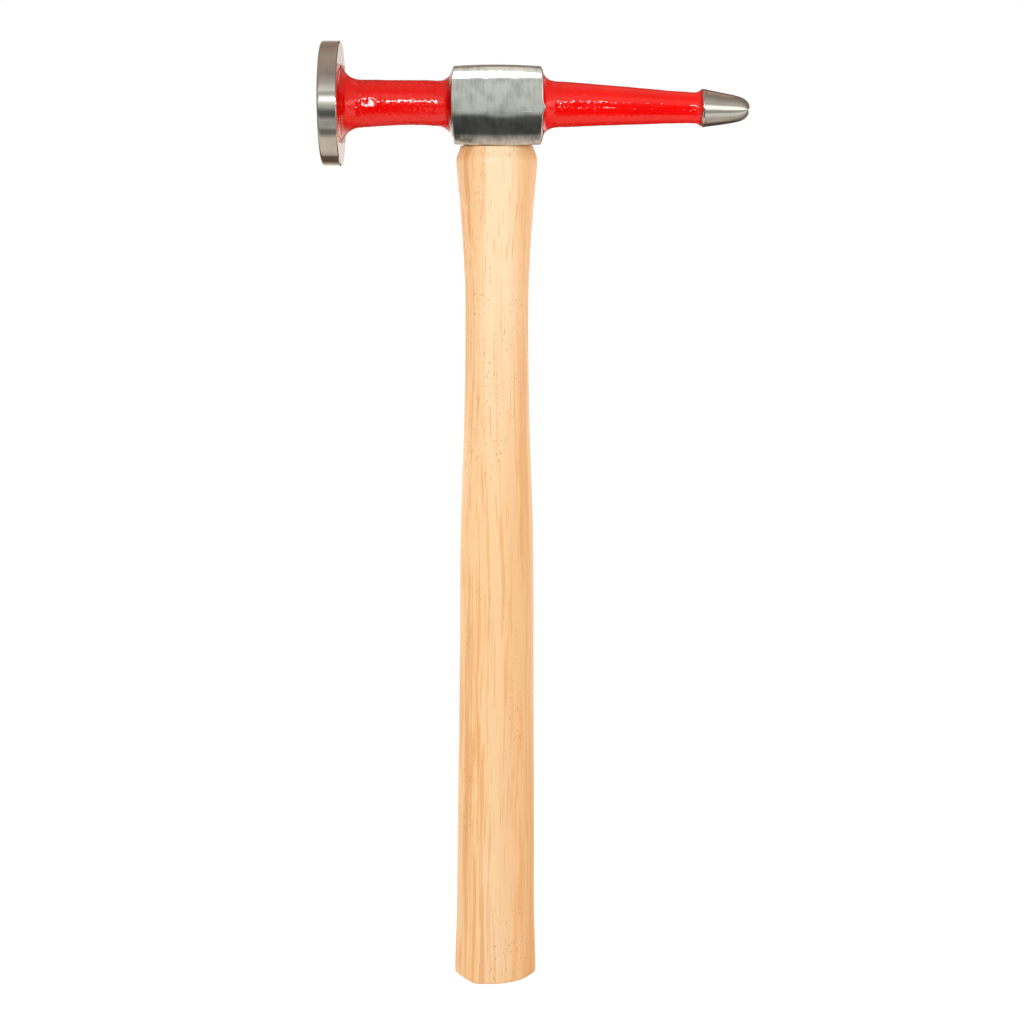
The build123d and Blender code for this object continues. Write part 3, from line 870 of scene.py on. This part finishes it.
tip_panels = [
    (-180, 0.9, 0.05), (-160, 0.7, 0.05), (-140, 0.15, 0.3), (-110, 0.15, 0.3),
    (-89, 0.31, 0.12), (-71, 0.33, 0.1), (-55, 0.5, 0.05), (-40, 0.56, 0.03), (-27, 0.24, 0.0),
    (-19, 0.24, 0.0), (-12, 0.45, 0.0), (-5, 0.9, 0.0), (-2, 1.05, 0.0), (14, 1.05, 0.0),
    (20, 0.6, 0.04), (27, 0.38, 0.1), (42, 0.39, 0.1), (57, 0.30, 0.12), (73, 0.24, 0.15),
    (90, 0.21, 0.18), (112, 0.18, 0.2), (140, 0.15, 0.3), (165, 0.3, 0.2), (180, 0.9, 0.05),
]
world = bpy.data.worlds.new("light_tent")
bpy.context.scene.world = world
world.use_nodes = True
world.cycles.sampling_method = "NONE"
tree = world.node_tree
place = add(tree, "TexCoord")
split = add(tree, "SeparateXYZ", {0: place.outputs["Generated"]})
front = add(tree, "Math", {0: split.outputs["Y"], 1: -1.0}, operation="MULTIPLY")
rise = add(tree, "Math", {0: split.outputs["Z"], 1: front.outputs[0]}, operation="ARCTAN2")
turn = add(tree, "Math", {0: rise.outputs[0], 1: 0.5 / np.pi, 2: 0.5}, operation="MULTIPLY_ADD")
across = add(tree, "MapRange", {"Value": split.outputs["X"], "From Min": -1.0, "From Max": 1.0})

# The pick sees the bars' panels 8 degrees further up than the neck does.
higher = add(tree, "MapRange", {"Value": split.outputs["X"], "From Min": -0.03, "From Max": 0.12,
                                "To Max": 8 / 360})
bar_turn = add(tree, "Math", {0: turn.outputs[0], 1: higher.outputs[0]}, operation="SUBTRACT")


def ring_of(panels, part=turn):
    """The panels as a ramp round the studio: warmth takes a little green and more blue away."""
    ramp = add(tree, "ValToRGB", {"Fac": part.outputs[0]})
    stops(ramp, [
        ((degrees + 180) / 360, (bright, bright * (1 - warm), bright * (0.9 - 1.2 * warm), 1))
        for degrees, bright, warm in panels
    ])
    return ramp.outputs[0]


def along_head(places):
    """A ramp over the part along X of a direction, from (part, value) pairs."""
    ramp = add(tree, "ValToRGB", {"Fac": across.outputs[0]})
    stops(ramp, [((x + 1) / 2, (v, v, v, 1)) for x, v in places])
    return ramp.outputs[0]


# The back of the face mirrors a pale wall behind the hammer, and what faces far to the left
# mirrors the dark end of the studio.
behind = add(tree, "ValToRGB", {"Fac": turn.outputs[0]})
stops(behind, [(0.03, (1,) * 4), (0.05, (0,) * 4), (0.95, (0,) * 4), (0.97, (1,) * 4)])
pale_wall = add(tree, "Math", {0: along_head([(0.070, 0), (0.074, 1), (0.094, 1), (0.098, 0)]),
                               1: behind.outputs[0]}, operation="MULTIPLY")
metal = ring_of(bar_panels, bar_turn)
for share, colour in (
    (along_head([(-0.080, 1), (-0.076, 0)]), ring_of(face_panels)),
    (along_head([(-0.043, 0), (-0.038, 1), (0.03, 1), (0.04, 0)]), ring_of(block_panels)),
    (along_head([(0.28, 0), (0.34, 1)]), ring_of(tip_panels)),
    (along_head([(-0.95, 1), (-0.75, 0)]), (0.15, 0.14, 0.13, 1)),
    (pale_wall.outputs[0], (0.62, 0.54, 0.49, 1)),
):
    metal = add(tree, "Mix", {0: share, 6: metal, 7: colour}, data_type="RGBA").outputs[2]
metal = add(tree, "VectorMath", {0: metal, "Scale": 1 / steel_share}, operation="SCALE")

# Matt surfaces are lit by a plain tent, brighter at its ends and darker overhead.
path = add(tree, "LightPath")
sides = along_head([(-1, 1.75), (-0.5, 1.36), (0, 0.87), (0.5, 1.22), (1, 1.65)])
roof = add(tree, "MapRange", {"Value": split.outputs["Z"], "From Min": 0.2, "From Max": 1.0,
                              "To Min": 1.0, "To Max": 0.45})
plain = add(tree, "VectorMath", {0: sides, "Scale": roof.outputs[0]}, operation="SCALE")
soft = add(tree, "Mix", {0: path.outputs["Is Glossy Ray"], 6: plain.outputs[0],
                         7: metal.outputs[0]}, data_type="RGBA")
seen = add(tree, "Mix", {0: path.outputs["Is Camera Ray"], 6: soft.outputs[2], 7: (1, 1, 1, 1)},
           data_type="RGBA")
feed(tree, tree.nodes["Background"], {"Color": seen.outputs[2]})

lamp_y = -0.655             # the lamps hang this far in front of the handle, in metres
for name, x, rise, wide, high, radiance in (
    ("low_lamp", -0.050, 0.086, 0.150, 0.088, 13.0),
    ("upper_lamp", 0.118, 0.200, 0.050, 0.060, 19.0),
    ("under_lamp", 0.112, -0.190, 0.036, 0.044, 14.0),
):
    light = bpy.data.lights.new(name, "AREA")
    light.shape, light.size, light.size_y = "ELLIPSE", wide, high
    light.energy = radiance * np.pi * wide * high
    lamp = bpy.data.objects.new(name, light)
    bpy.context.scene.collection.objects.link(lamp)
    lamp.location = (x, lamp_y, axis_z * MM + rise)
    lamp.rotation_euler = (radians(90), 0, 0)

bpy.context.scene.view_settings.view_transform = "Standard"
